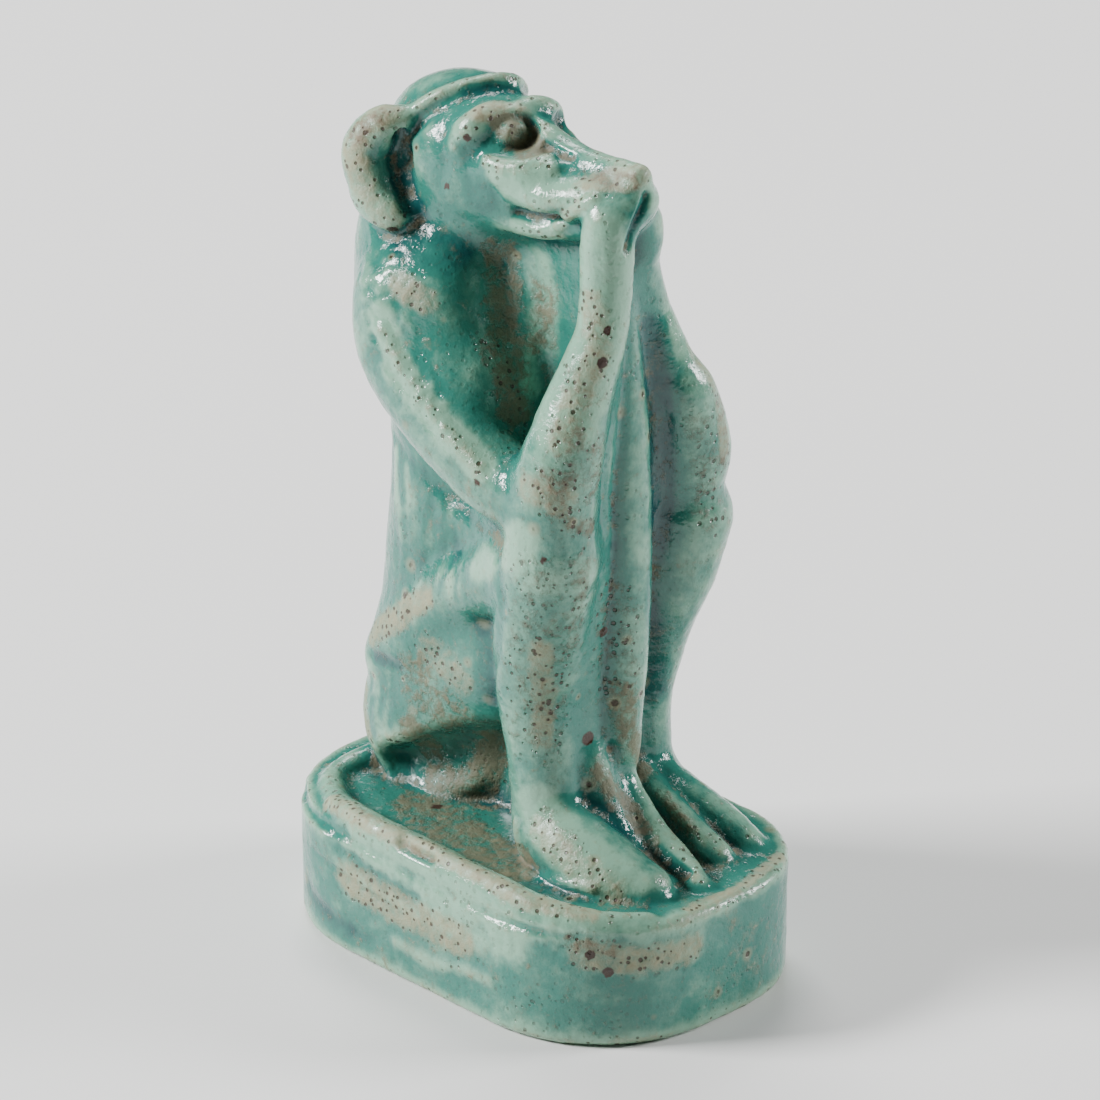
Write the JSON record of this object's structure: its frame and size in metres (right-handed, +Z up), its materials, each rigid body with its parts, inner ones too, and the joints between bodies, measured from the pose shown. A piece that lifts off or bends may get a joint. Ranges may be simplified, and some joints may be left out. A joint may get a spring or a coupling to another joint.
{
  "type": "monkey amulet",
  "caption": "Small glazed amulet of a monkey squatting on a rounded base, elbows on its knees and both hands at its mouth.",
  "frame": {"origin": "centre of the underside of the base, where the object's bounding box has its bottom centre", "axes": "+Z up, -Y the way the monkey looks, +X to the monkey's own left"},
  "size_m": [0.0129, 0.0196, 0.0341],
  "materials": {
    "glaze": "glossy blue-green glaze, worn and pitted"
  },
  "bodies": {
    "root": {"monkey_amulet": "glaze"}
  },
  "joints": []
}
